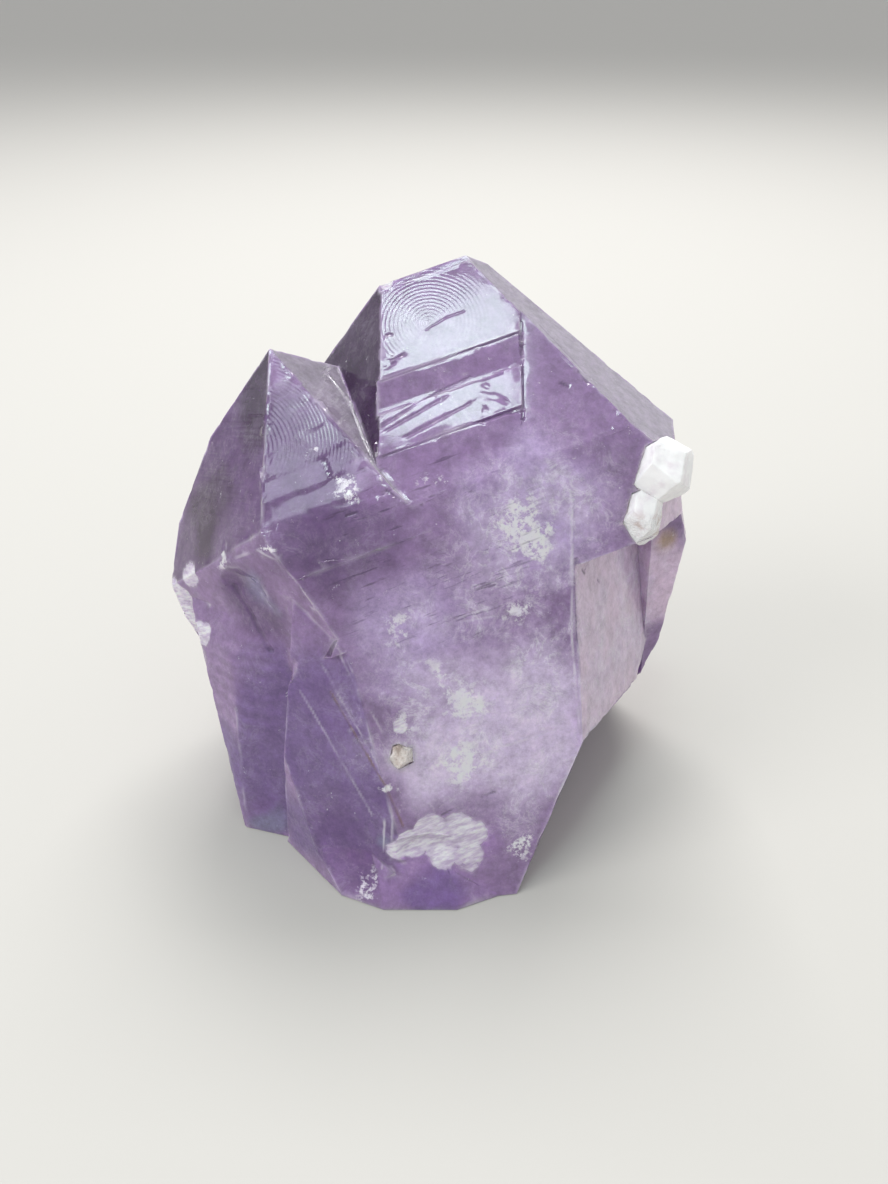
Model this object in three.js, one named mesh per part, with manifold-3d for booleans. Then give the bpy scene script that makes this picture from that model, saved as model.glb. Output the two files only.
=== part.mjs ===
// Amethyst cluster: two quartz points grown side by side in parallel, with smaller growths on the
// right and at the back, a broken base, and two pieces of white quartz seated in its surface.
// Millimetres, +Z up, origin on the base under the middle of the outline. -Y is the front.

import * as THREE from 'three';
import { ConvexGeometry } from 'three/addons/geometries/ConvexGeometry.js';
import { mergeVertices } from 'three/addons/utils/BufferGeometryUtils.js';
import Module from 'manifold-3d';

const wasm = await Module();
wasm.setup();

// How all the parallel crystals stand: the long axis leans to the left and back, and is turned round.
const LEAN_LEFT = THREE.MathUtils.degToRad(18.7);
const LEAN_BACK = THREE.MathUtils.degToRad(11.2);
const TURN_DEG = -18;

// Quartz's termination faces stand 51.8 degrees from the axis. Its prism faces taper a little, the
// small crystals' less than the large ones', and the main point's back right face is steep.
const TERMINATION = 51.8;
const STEEP_TERMINATION = 73;
const PRISM = 81;
const SMALL_PRISM = 88;

// The six sides of a crystal, in degrees round its axis from the front towards the right.
const FRONT = 30;
const RIGHT = 90;
const BACK_RIGHT = 150;
const BACK = 210;
const BACK_LEFT = 270;
const LEFT = 330;

// Every face's distance is measured from this point inside the cluster.
const HEART = new THREE.Vector3(0, 0, 50);

// The front termination face's distance, and how far the main point's lies below it.
const FRONT_DISTANCE = 34.9;
const GROWTH_STEP = 0.6;

// The two raised plates left of the seam on the main point's front face, by where they begin and end
// up and down the slope.
const FIRST_PLATE = { top: 70, foot: -21 };
const SECOND_PLATE = { top: 42, foot: -6.5 };
const PLATE_DEPTH = 4;
const SEAM_X = 19.7;

// White quartz: the crystal's two lobes on the right shoulder, and the grain low on the front.
const UPPER_LOBE = { middle: [50.1, -2.4, 89.5], halfSize: [5.8, 5.6, 7.2], facets: 14, spread: 0.11 };
const LOWER_LOBE = { middle: [45.9, -6.2, 80], halfSize: [4.2, 4.2, 7], facets: 14, spread: 0.14 };
const GRAIN = { middle: [-6.6, -32.4, 34.2], halfSize: [2.6, 2.4, 2.9], facets: 15, spread: 0.1 };
const SEAT_GAP = 0.3;

// Shell-shaped scars where pieces broke away, as rounded bites.
const SCARS = {
  lowBackLeft: { middle: [-66, 60, 22], halfSize: [34, 32, 34] },
  lowBackRight: { middle: [50, 76, 20], halfSize: [34, 35, 32] },
  whitePatch: { middle: [1.5, -67, 15], halfSize: [28, 27.5, 12] },
  underLedge: { middle: [-48.8, -31.8, 64], halfSize: [18, 26, 14] },
  leftBruise: { middle: [-88, -16, 50], halfSize: [28, 26, 16] },
};

// Tips of two small crystals at the back, and their half widths.
const BACK_LEFT_POINT = { tip: [-36, 40, 92], halfWidth: 13 };
const BACK_POINT = { tip: [8, 47, 84], halfWidth: 15 };

const AMETHYST = { color: 0x8e7599, roughness: 0.12, metalness: 0 };
const WHITE_QUARTZ = { color: 0xe6e3e1, roughness: 0.45, metalness: 0 };
const GRAIN_QUARTZ = { color: 0xd9d2cc, roughness: 0.6, metalness: 0 };

// The crystals' long axis, and the turn of directions from a crystal's own axes to the part's.
const crystalAxis = new THREE.Vector3(-Math.sin(LEAN_LEFT), Math.sin(LEAN_BACK), 1).normalize();
const crystalTurn = new THREE.Quaternion().setFromUnitVectors(new THREE.Vector3(0, 0, 1), crystalAxis);

// A flat crystal face: its side, its angle from the long axis and its distance from a centre.
function face(side, angle, distance, centre = HEART) {
  const around = THREE.MathUtils.degToRad(side + TURN_DEG);
  const out = THREE.MathUtils.degToRad(angle);
  const normal = new THREE.Vector3(
    Math.sin(out) * Math.sin(around),
    -Math.sin(out) * Math.cos(around),
    Math.cos(out),
  ).applyQuaternion(crystalTurn);
  const point = centre.clone().addScaledVector(normal, distance);
  return new THREE.Plane().setFromNormalAndCoplanarPoint(normal, point);
}

// A broken face through a point, by where it looks: degrees round from the front, and upwards.
function breakFace(around, up, x, y, z) {
  const azimuth = THREE.MathUtils.degToRad(around);
  const rise = THREE.MathUtils.degToRad(up);
  const normal = new THREE.Vector3(
    Math.cos(rise) * Math.sin(azimuth),
    -Math.cos(rise) * Math.cos(azimuth),
    Math.sin(rise),
  );
  return new THREE.Plane().setFromNormalAndCoplanarPoint(normal, new THREE.Vector3(x, y, z));
}

// The corner where three planes meet, or null where they run side by side.
function corner(first, second, third) {
  const across = new THREE.Vector3().crossVectors(second.normal, third.normal);
  const spread = first.normal.dot(across);
  const parallel = 1e-6;
  if (Math.abs(spread) < parallel) {
    return null;
  }
  return new THREE.Vector3()
    .addScaledVector(across, -first.constant)
    .addScaledVector(new THREE.Vector3().crossVectors(third.normal, first.normal), -second.constant)
    .addScaledVector(new THREE.Vector3().crossVectors(first.normal, second.normal), -third.constant)
    .divideScalar(spread);
}

// The convex body that a set of outward planes encloses.
function bodyWithin(planes) {
  const tolerance = 1e-4;
  const corners = [];
  for (let i = 0; i < planes.length; i += 1) {
    for (let j = i + 1; j < planes.length; j += 1) {
      for (let k = j + 1; k < planes.length; k += 1) {
        const point = corner(planes[i], planes[j], planes[k]);
        if (point && planes.every((plane) => plane.distanceToPoint(point) < tolerance)) {
          corners.push(point);
        }
      }
    }
  }
  return solidOf(new ConvexGeometry(corners));
}

// A closed geometry as a solid that can be joined and cut.
function solidOf(geometry) {
  const bare = geometry.clone();
  bare.deleteAttribute('normal');
  bare.deleteAttribute('uv');
  const merged = mergeVertices(bare, 1e-3);
  const mesh = new wasm.Mesh({
    numProp: 3,
    vertProperties: Float32Array.from(merged.attributes.position.array),
    triVerts: Uint32Array.from(merged.index.array),
  });
  return new wasm.Manifold(mesh);
}

// A solid back as a geometry.
function geometryOf(solid) {
  const mesh = solid.getMesh();
  const geometry = new THREE.BufferGeometry();
  geometry.setAttribute('position', new THREE.BufferAttribute(Float32Array.from(mesh.vertProperties), 3));
  geometry.setIndex(new THREE.BufferAttribute(Uint32Array.from(mesh.triVerts), 1));
  geometry.computeVertexNormals();
  return geometry;
}

// Faces that several growths share: the front with its rounded crease, the base, the pale face right
// of the front edge, the break below it, the deep purple face at the lower left, its left end and the
// left part of the foot.
const frontTermination = face(FRONT, TERMINATION, FRONT_DISTANCE);
const loweredFront = face(FRONT, TERMINATION, FRONT_DISTANCE - GROWTH_STEP);
const frontRounding = [face(FRONT, 61.5, 31.2), face(FRONT, 71.3, 27.3)];
const frontPrism = face(FRONT, PRISM, 23.7);
const base = breakFace(0, -90, 0, 0, 0);
const rightSide = breakFace(62, 15, 34.7, -27.9, 34.2);
const rightBreak = breakFace(66, -11, 34.7, -27.9, 34.2);
const deepFace = breakFace(-18, 16.3, -16.7, -26.5, 53.8);
const deepFaceEnd = breakFace(-100, 4, -33.5, -26, 30);
const leftFoot = breakFace(-46, 4, -27, -38.5, 0);
const lowLeftFront = breakFace(-42, 11, -47.6, -24.2, 0);

// The faces that meet in the main point's short ridge and carry its right slope.
const mainSlopes = [
  face(RIGHT, TERMINATION, 63.5),
  face(BACK_RIGHT, STEEP_TERMINATION, 61.5),
  face(BACK, TERMINATION, 56.9),
  face(LEFT, TERMINATION, 30.5),
];

// A raised plate on the main point's front face, with a low step down at its foot.
function frontPlate({ top, foot }) {
  const seam = breakFace(90, 0, SEAM_X, 0, 0);
  const upperEnd = face(FRONT, TERMINATION - 80, top);
  const step = face(FRONT, TERMINATION + 60, foot);
  const inside = face(BACK, 180 - TERMINATION, PLATE_DEPTH - FRONT_DISTANCE);
  return bodyWithin([frontTermination, ...frontRounding, ...mainSlopes, seam, upperEnd, step, inside]);
}

// The main point's upper part, which overhangs on the right.
function crown() {
  const frontCorner = breakFace(58, 12, 48, -7.5, 80);
  const rightEnd = breakFace(80, 14, 57, 13, 85);
  const overhang = breakFace(40, -58, 45, -8.5, 75.5);
  const backEnd = breakFace(165, -10, 30, 46, 80);
  const leftEnd = breakFace(-110, 0, -38, 10, 60);
  return bodyWithin([
    loweredFront,
    ...frontRounding,
    ...mainSlopes,
    frontPrism,
    frontCorner,
    rightEnd,
    overhang,
    backEnd,
    leftEnd,
  ]);
}

// The main point's body down to the broken base.
function mainBody() {
  const rightEnd = breakFace(108, -5, 54, 8, 42);
  const backEnd = breakFace(172, -6, 10, 46, 60);
  return bodyWithin([
    loweredFront,
    ...frontRounding,
    ...mainSlopes,
    frontPrism,
    rightSide,
    rightBreak,
    deepFace,
    deepFaceEnd,
    leftFoot,
    rightEnd,
    backEnd,
    base,
  ]);
}

// The block of deepest colour at the lower left of the main body.
function deepBlock() {
  const topSlope = face(LEFT, TERMINATION, 41.5);
  const top = breakFace(0, 75, -20, -20, 76);
  const insideRight = breakFace(90, 0, 10, 0, 40);
  const insideBack = breakFace(180, 0, 0, 20, 40);
  return bodyWithin([
    frontPrism,
    deepFace,
    deepFaceEnd,
    leftFoot,
    topSlope,
    top,
    insideRight,
    insideBack,
    base,
  ]);
}

// The dark foot along the front of the base, which slopes out past the front faces.
function frontFoot() {
  const middleSlope = breakFace(0, 36, -3, -48.5, 0);
  const rightSlope = breakFace(21, 36, 6, -48.5, 0);
  const leftSlope = breakFace(-21, 30, -11, -48.5, 0);
  const insideBack = breakFace(180, 0, 0, -20, 0);
  return bodyWithin([
    middleSlope,
    rightSlope,
    leftSlope,
    leftFoot,
    deepFaceEnd,
    rightBreak,
    insideBack,
    base,
  ]);
}

// The lower point on the left, down to the ledge where its front broke away.
function leftPoint() {
  const frontCorner = breakFace(-33, -4, -34.8, -15.8, 80);
  const bruisedEdge = breakFace(-79, -28, -64.5, 3.8, 49.5);
  const backLeftEnd = breakFace(-150, -8, -40, 38, 60);
  const backEnd = breakFace(178, -8, 0, 44, 60);
  const insideRight = breakFace(90, 0, 0, 0, 60);
  const underside = breakFace(30, -60, -20, 0, 30);
  return bodyWithin([
    frontTermination,
    face(RIGHT, TERMINATION, 29.4),
    face(BACK, TERMINATION, 50.6),
    face(BACK_LEFT, TERMINATION, 66),
    face(LEFT, TERMINATION, 48.4),
    face(BACK_LEFT, PRISM, 60.5),
    ...frontRounding,
    frontPrism,
    frontCorner,
    lowLeftFront,
    bruisedEdge,
    backLeftEnd,
    backEnd,
    insideRight,
    underside,
  ]);
}

// The flank below the left point, drawn in towards the base.
function leftFlank() {
  const ledge = breakFace(0, 80, -50, 0, 64);
  const footFront = breakFace(-15, 14, -42, -26, 0);
  const brokenCorner = breakFace(-38, 30, -50, -13, 42);
  const leftEnd = breakFace(-79, -6, -54.9, -7.9, 37.6);
  const backLeftEnd = breakFace(-150, -14, -45, 30, 40);
  const backEnd = breakFace(175, -12, 0, 42, 45);
  const insideRight = breakFace(80, 0, -20, 0, 40);
  return bodyWithin([
    frontTermination,
    ledge,
    face(LEFT, TERMINATION, 46),
    face(BACK_LEFT, PRISM, 57),
    lowLeftFront,
    footFront,
    brokenCorner,
    leftEnd,
    backLeftEnd,
    backEnd,
    insideRight,
    base,
  ]);
}

// The growth behind the pale right face.
function rightGrowth() {
  const sunkenFront = face(FRONT, TERMINATION, 32);
  const undercut = breakFace(45, -44.5, 34.7, -27.9, 34.2);
  const rightEnd = breakFace(84, 2, 61.5, 14, 55);
  const lowRightEnd = breakFace(86, -26, 61.5, 14, 40);
  const backRightEnd = breakFace(150, -8, 48, 36, 60);
  const backEnd = breakFace(-170, 0, 20, 44, 60);
  const insideLeft = breakFace(-90, 0, 20, 0, 50);
  return bodyWithin([
    sunkenFront,
    ...frontRounding,
    frontPrism,
    rightSide,
    face(RIGHT, TERMINATION, 59),
    face(BACK_RIGHT, STEEP_TERMINATION, 60),
    undercut,
    rightEnd,
    lowRightEnd,
    backRightEnd,
    backEnd,
    insideLeft,
    base,
  ]);
}

// The pale growth farthest right, which makes the cluster's right outline.
function farRightGrowth() {
  const front = breakFace(25, 6, 63.5, 18, 54);
  const leftEnd = breakFace(-62, 0, 55.3, 14, 50);
  const shoulder = breakFace(78, 16, 62.7, 18, 65);
  const rightEnd = breakFace(82, -6, 63.8, 18, 50);
  const lowRightEnd = breakFace(84, -22, 62.2, 18, 32);
  const undercut = breakFace(40, -40, 58, 14, 18);
  const backRightEnd = breakFace(150, -8, 50, 36, 60);
  const top = breakFace(78, 55, 58, 18, 82);
  return bodyWithin([
    face(BACK_RIGHT, TERMINATION, 56),
    face(BACK_RIGHT, STEEP_TERMINATION, 60),
    front,
    leftEnd,
    shoulder,
    rightEnd,
    lowRightEnd,
    undercut,
    backRightEnd,
    top,
    base,
  ]);
}

// A small crystal parallel to the others, by its tip and its half width, cut off at the base.
function parallelPoint({ tip, halfWidth }) {
  const tipHeight = halfWidth / Math.cos(THREE.MathUtils.degToRad(TERMINATION));
  const centre = new THREE.Vector3(...tip).addScaledVector(crystalAxis, -tipHeight);
  const largeSides = [FRONT, BACK_RIGHT, BACK_LEFT];
  const smallSides = [RIGHT, BACK, LEFT];
  return bodyWithin([
    ...largeSides.map((side) => face(side, TERMINATION, halfWidth, centre)),
    ...smallSides.map((side) => face(side, TERMINATION, 1.06 * halfWidth, centre)),
    ...largeSides.map((side) => face(side, SMALL_PRISM, 0.86 * halfWidth, centre)),
    ...smallSides.map((side) => face(side, SMALL_PRISM, 0.98 * halfWidth, centre)),
    base,
  ]);
}

// The rounded bite that leaves a shell-shaped scar.
function bite({ middle, halfSize }) {
  const roundness = 4;
  const ball = new THREE.IcosahedronGeometry(1, roundness);
  ball.scale(...halfSize);
  ball.translate(...middle);
  return solidOf(ball);
}

// An irregular pebble: flat facets set round a spiral, pushed outward all over by one amount.
function pebble({ middle, halfSize, facets, spread }, grow) {
  const goldenAngle = Math.PI * (3 - Math.sqrt(5));
  const planes = [];
  for (let i = 0; i < facets; i += 1) {
    const height = 1 - (2 * (i + 0.5)) / facets;
    const ring = Math.sqrt(1 - height * height);
    const around = goldenAngle * i;
    const normal = new THREE.Vector3(ring * Math.cos(around), ring * Math.sin(around), height);
    const radius = normal.clone().multiply(new THREE.Vector3(...halfSize)).length();
    const unevenness = 1 - spread + spread * Math.sin(around);
    const point = new THREE.Vector3(...middle).addScaledVector(normal, radius * unevenness + grow);
    planes.push(new THREE.Plane().setFromNormalAndCoplanarPoint(normal, point));
  }
  return bodyWithin(planes);
}

// The white crystal on the right shoulder: its two lobes as one body.
function whiteCrystal(grow) {
  return pebble(UPPER_LOBE, grow).add(pebble(LOWER_LOBE, grow));
}

// The amethyst: all growths joined, then cut by the scars and by the seats of the white quartz.
function amethyst() {
  const growths = [
    crown(),
    mainBody(),
    deepBlock(),
    leftPoint(),
    leftFlank(),
    rightGrowth(),
    farRightGrowth(),
    frontPlate(FIRST_PLATE),
    frontPlate(SECOND_PLATE),
    frontFoot(),
    parallelPoint(BACK_LEFT_POINT),
    parallelPoint(BACK_POINT),
  ];
  const cuts = [...Object.values(SCARS).map(bite), whiteCrystal(SEAT_GAP), pebble(GRAIN, SEAT_GAP)];
  const whole = growths.reduce((joined, growth) => joined.add(growth));
  return cuts.reduce((rest, cut) => rest.subtract(cut), whole);
}

function namedMesh(name, solid, look) {
  const mesh = new THREE.Mesh(geometryOf(solid), new THREE.MeshStandardMaterial(look));
  mesh.name = name;
  return mesh;
}

const cluster = new THREE.Group();
cluster.add(
  namedMesh('amethyst_cluster', amethyst(), AMETHYST),
  namedMesh('white_quartz_crystal', whiteCrystal(0), WHITE_QUARTZ),
  namedMesh('white_quartz_grain', pebble(GRAIN, 0), GRAIN_QUARTZ),
);

// Stands the outline's middle over the origin.
const outlineMiddle = new THREE.Box3().setFromObject(cluster).getCenter(new THREE.Vector3());
cluster.position.set(-outlineMiddle.x, -outlineMiddle.y, 0);

export default cluster;
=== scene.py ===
"""Amethyst cluster: two intergrown purple quartz points with white quartz on the right shoulder."""
import logging
from collections.abc import Callable
from dataclasses import dataclass, field
from enum import Enum
from math import cos, radians, sin

import bmesh
import bpy
import numpy as np
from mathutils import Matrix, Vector, kdtree, noise
from mathutils.bvhtree import BVHTree


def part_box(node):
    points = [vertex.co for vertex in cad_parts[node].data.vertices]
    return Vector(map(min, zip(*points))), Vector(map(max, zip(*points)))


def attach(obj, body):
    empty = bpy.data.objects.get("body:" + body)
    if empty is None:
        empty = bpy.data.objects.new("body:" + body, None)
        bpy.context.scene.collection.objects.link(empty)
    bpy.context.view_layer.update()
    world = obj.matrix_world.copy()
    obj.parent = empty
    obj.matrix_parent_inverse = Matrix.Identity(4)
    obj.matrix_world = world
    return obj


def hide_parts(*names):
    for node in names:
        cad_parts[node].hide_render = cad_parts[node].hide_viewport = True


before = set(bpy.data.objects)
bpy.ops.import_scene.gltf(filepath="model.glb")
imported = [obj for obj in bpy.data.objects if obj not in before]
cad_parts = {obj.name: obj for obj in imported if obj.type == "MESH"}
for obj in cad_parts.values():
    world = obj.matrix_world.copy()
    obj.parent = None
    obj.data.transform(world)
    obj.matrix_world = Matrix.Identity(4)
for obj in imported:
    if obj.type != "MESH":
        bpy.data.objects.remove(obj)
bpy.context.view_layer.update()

LOG = logging.getLogger("amethyst")

MM = 0.001
IMAGE_WIDTH_PX = 888
IMAGE_HEIGHT_PX = 1184
SENSOR_MM = 36.0
BODY_NODE = "amethyst_cluster"

# The grain's box as measured, before the part was centred on its outline.
GRAIN_MEASURED_MM = (Vector((-9.4, -34.8, 31.1)), Vector((-3.9, -29.6, 37.2)))

Socket = bpy.types.NodeSocket


def centring_shift() -> Vector:
    """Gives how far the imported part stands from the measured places.

    Returns:
        The shift in metres, found from the grain's box.
    """
    low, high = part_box("white_quartz_grain")
    measured = (GRAIN_MEASURED_MM[0] + GRAIN_MEASURED_MM[1]) * 0.5 * MM
    shift = (low + high) * 0.5 - measured
    return Vector((shift.x, shift.y, 0.0))


SHIFT = centring_shift()


def place(x: float, y: float, z: float) -> Vector:
    """Turns a measured place in millimetres into the part's frame in metres."""
    return Vector((x, y, z)) * MM + SHIFT


def linear(hex_colour: str) -> tuple[float, float, float, float]:
    """Turns an sRGB hex colour into the linear colour that shaders take.

    Args:
        hex_colour: Six hex digits, with or without a leading hash.

    Returns:
        Linear red, green and blue with an alpha of one.
    """
    digits = hex_colour.lstrip("#")
    channels = [int(digits[i:i + 2], 16) / 255 for i in (0, 2, 4)]
    bent = [c / 12.92 if c <= 0.04045 else ((c + 0.055) / 1.055) ** 2.4 for c in channels]
    return (*bent, 1.0)


def eased(share: np.ndarray) -> np.ndarray:
    """Eases shares from 0 to 1, with soft ends."""
    clipped = np.clip(share, 0.0, 1.0)
    return clipped * clipped * (3 - 2 * clipped)


class Side(Enum):
    """The six sides of the parallel crystals, in degrees round the long axis."""

    FRONT = 30
    RIGHT = 90
    BACK_RIGHT = 150
    BACK = 210
    BACK_LEFT = 270
    LEFT = 330


class Mark(Enum):
    """What a line on the surface looks like, by the attribute that carries it."""

    DARK = "dark_line"
    PALE = "pale_line"
    BROWN = "brown_line"


class Tone(Enum):
    """The few tones of this amethyst, from clear and dark to milky and stained."""

    DEEP = "#3B1F45"
    VIOLET = "#7A5F96"
    SMOKY = "#6B4E7C"
    MAUVE = "#997CA8"
    BLUISH = "#8C86A8"
    LAVENDER = "#C6B0DA"
    MILKY = "#E6D4F2"
    ROSY = "#E8D0E6"
    SLOPE = "#ABA2AE"
    STAIN = "#B79B74"


@dataclass(frozen=True)
class Lattice:
    """How all the parallel crystals stand, and where their faces look."""

    lean_left_deg: float = 18.7
    lean_back_deg: float = 11.2
    turn_deg: float = -18.0
    termination_deg: float = 51.8
    prism_deg: float = 81.0

    @property
    def axis(self) -> Vector:
        """The crystals' long axis."""
        left, back = radians(self.lean_left_deg), radians(self.lean_back_deg)
        return Vector((-sin(left), sin(back), 1.0)).normalized()

    def normal(self, side: Side, angle_deg: float) -> Vector:
        """Gives where a crystal face looks.

        Args:
            side: Which side of the crystal it is on.
            angle_deg: Its angle from the long axis.

        Returns:
            The face's outward direction in the part's frame.
        """
        around, out = radians(side.value + self.turn_deg), radians(angle_deg)
        upright = Vector((sin(out) * sin(around), -sin(out) * cos(around), cos(out)))
        return Vector((0, 0, 1)).rotation_difference(self.axis) @ upright

    def along(self, normal: Vector) -> Vector:
        """The direction of the growth lines on a face, across the long axis."""
        return self.axis.cross(normal).normalized()


LATTICE = Lattice()


@dataclass(frozen=True)
class PhotoView:
    """The photograph's viewpoint, which places a mark by its pixel in the photograph."""

    camera_mm: tuple[float, float, float] = (3.0, -168.5, 178.4)
    pitch_deg: float = 36.0
    focal_px: float = 870.0

    @property
    def camera(self) -> Vector:
        """The viewpoint in the part's frame."""
        return place(*self.camera_mm)

    def ray(self, pixel: tuple[float, float]) -> Vector:
        """Gives the direction in which a pixel looks.

        Args:
            pixel: The pixel's place across and down the photograph.

        Returns:
            The direction in the part's frame.
        """
        pitch = radians(self.pitch_deg)
        ahead = Vector((0, cos(pitch), -sin(pitch)))
        up = Vector((0, sin(pitch), cos(pitch)))
        across = (pixel[0] - IMAGE_WIDTH_PX / 2) / self.focal_px
        down = (pixel[1] - IMAGE_HEIGHT_PX / 2) / self.focal_px
        return (ahead + Vector((1, 0, 0)) * across - up * down).normalized()

    def spot(self, pixel: tuple[float, float], depth_mm: float = 0.0) -> Vector:
        """Finds the place on the amethyst that a pixel shows.

        Args:
            pixel: The pixel's place across and down the photograph.
            depth_mm: How far behind the surface the place lies.

        Returns:
            The place in the part's frame, in metres.
        """
        ray = self.ray(pixel)
        hit = SURFACE.ray_cast(self.camera, ray)[0]
        if hit is None:
            raise ValueError(f"pixel {pixel} misses the amethyst")
        return hit + ray * depth_mm * MM

    def facing(self, pixel: tuple[float, float]) -> Vector:
        """Gives where the face of the amethyst that a pixel shows looks."""
        return SURFACE.ray_cast(self.camera, self.ray(pixel))[1]


def solid_surface() -> BVHTree:
    """Makes the search tree of the amethyst's solid."""
    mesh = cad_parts[BODY_NODE].data
    corners = [vertex.co for vertex in mesh.vertices]
    return BVHTree.FromPolygons(corners, [tuple(face.vertices) for face in mesh.polygons])


SURFACE = solid_surface()
VIEW = PhotoView()


class NodeGraph:
    """A material's node tree, with one way to add a node to it."""

    def __init__(self, name: str) -> None:
        """Makes a material with an empty tree."""
        self.material = bpy.data.materials.new(name)
        self.material.use_nodes = True
        self.tree = self.material.node_tree
        self.tree.nodes.clear()

    def add(
        self, kind: str, inputs: dict | None = None, output: str | int = 0, **settings: object
    ) -> Socket | None:
        """Adds one node with its settings and links.

        Args:
            kind: The node's type name.
            inputs: Values or sockets for its inputs, by name or number.
            output: The output that is wanted, by name or number.
            settings: The node's own settings.

        Returns:
            The wanted output's socket, or None where the node has no outputs.
        """
        node = self.tree.nodes.new(kind)
        for key, value in settings.items():
            setattr(node, key, value)
        for key, value in (inputs or {}).items():
            if isinstance(value, Socket):
                self.tree.links.new(value, node.inputs[key])
            else:
                node.inputs[key].default_value = value
        return node.outputs[output] if node.outputs else None


class Work:
    """Small steps of mesh work that the pieces share."""

    @staticmethod
    def choose(piece: bpy.types.Object) -> None:
        """Makes a piece the only selected and the active object."""
        bpy.ops.object.select_all(action="DESELECT")
        piece.select_set(True)
        bpy.context.view_layer.objects.active = piece

    @staticmethod
    def merged_copy(node: str, name: str) -> bpy.types.Object:
        """Copies a CAD node's mesh and joins its loose triangles.

        Args:
            node: The CAD node's name.
            name: The new piece's name.

        Returns:
            The new piece, with flat faces dissolved into whole ones.
        """
        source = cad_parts[node]
        piece = bpy.data.objects.new(name, source.data.copy())
        bpy.context.scene.collection.objects.link(piece)
        piece.data.materials.clear()
        Work.choose(piece)
        bpy.ops.object.mode_set(mode="EDIT")
        bpy.ops.mesh.select_all(action="SELECT")
        bpy.ops.mesh.remove_doubles(threshold=0.002 * MM)
        bpy.ops.mesh.customdata_custom_splitnormals_clear()
        bpy.ops.mesh.dissolve_limited(angle_limit=radians(0.3))
        bpy.ops.object.mode_set(mode="OBJECT")
        return piece

    @staticmethod
    def cut_in_cells(piece: bpy.types.Object, cell_mm: float) -> None:
        """Cuts every face along a grid of planes, so that no face is longer than a cell.

        Args:
            piece: The mesh piece.
            cell_mm: The grid's spacing in millimetres.
        """
        Work.choose(piece)
        low = Vector(piece.bound_box[0])
        high = Vector(piece.bound_box[6])
        bpy.ops.object.mode_set(mode="EDIT")
        for axis in range(3):
            normal = Vector((0, 0, 0))
            normal[axis] = 1.0
            count = int((high[axis] - low[axis]) / (cell_mm * MM))
            for step in range(1, count + 1):
                point = Vector((0, 0, 0))
                point[axis] = low[axis] + (step - 0.37) * cell_mm * MM
                bpy.ops.mesh.select_all(action="SELECT")
                bpy.ops.mesh.bisect(plane_co=point, plane_no=normal)
        bpy.ops.mesh.select_all(action="SELECT")
        bpy.ops.mesh.quads_convert_to_tris(quad_method="BEAUTY", ngon_method="BEAUTY")
        bpy.ops.object.mode_set(mode="OBJECT")

    @staticmethod
    def refine(piece: bpy.types.Object, near: Callable[[np.ndarray], np.ndarray], longest_mm: float) -> None:
        """Divides long edges until the mesh is as fine as asked in the places that need it.

        Args:
            piece: The mesh piece, in object mode.
            near: Tells which places need it, as true or false for each.
            longest_mm: The longest edge that may stay there.
        """
        most_rounds = 4
        mesh = piece.data
        for _ in range(most_rounds):
            places = Work.places(piece)
            ends = np.empty(len(mesh.edges) * 2, np.int32)
            mesh.edges.foreach_get("vertices", ends)
            ends = ends.reshape(-1, 2)
            length = np.linalg.norm(places[ends[:, 0]] - places[ends[:, 1]], axis=1) / MM
            chosen = (length > longest_mm) & near(places)[ends].any(axis=1)
            if not chosen.any():
                return
            Work.divide_edges(piece, chosen)

    @staticmethod
    def divide_edges(piece: bpy.types.Object, chosen: np.ndarray) -> None:
        """Cuts the chosen edges in two and makes triangles of the faces beside them."""
        mesh = piece.data
        Work.choose(piece)
        mesh.vertices.foreach_set("select", np.zeros(len(mesh.vertices), bool))
        mesh.polygons.foreach_set("select", np.zeros(len(mesh.polygons), bool))
        mesh.edges.foreach_set("select", chosen)
        bpy.ops.object.mode_set(mode="EDIT")
        bpy.ops.mesh.select_mode(type="EDGE")
        bpy.ops.mesh.subdivide(number_cuts=1)
        bpy.ops.mesh.select_all(action="SELECT")
        bpy.ops.mesh.quads_convert_to_tris(quad_method="BEAUTY", ngon_method="BEAUTY")
        bpy.ops.mesh.select_mode(type="VERT")
        bpy.ops.object.mode_set(mode="OBJECT")

    @staticmethod
    def everywhere(places: np.ndarray) -> np.ndarray:
        """Tells that every place is wanted."""
        return np.ones(len(places), bool)

    @staticmethod
    def select_faces(piece: bpy.types.Object, wanted: np.ndarray) -> None:
        """Selects the faces of which every vertex is wanted, and nothing else.

        Args:
            piece: The mesh piece, in object mode.
            wanted: True or false for each vertex.
        """
        mesh = piece.data
        mesh.vertices.foreach_set("select", np.zeros(len(mesh.vertices), bool))
        mesh.edges.foreach_set("select", np.zeros(len(mesh.edges), bool))
        chosen = [all(wanted[vertex] for vertex in face.vertices) for face in mesh.polygons]
        mesh.polygons.foreach_set("select", np.array(chosen, bool))

    @staticmethod
    def places(piece: bpy.types.Object) -> np.ndarray:
        """Gives the vertices' places in metres, one row each."""
        flat = np.empty(len(piece.data.vertices) * 3, np.float32)
        piece.data.vertices.foreach_get("co", flat)
        return flat.reshape(-1, 3).astype(float)

    @staticmethod
    def normals(piece: bpy.types.Object) -> np.ndarray:
        """Gives the vertices' outward directions, one row each."""
        flat = np.empty(len(piece.data.vertices) * 3, np.float32)
        piece.data.vertex_normals.foreach_get("vector", flat)
        return flat.reshape(-1, 3).astype(float)

    @staticmethod
    def put(piece: bpy.types.Object, places: np.ndarray) -> None:
        """Sets the vertices' places."""
        piece.data.vertices.foreach_set("co", places.astype(np.float32).ravel())
        piece.data.update()

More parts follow.
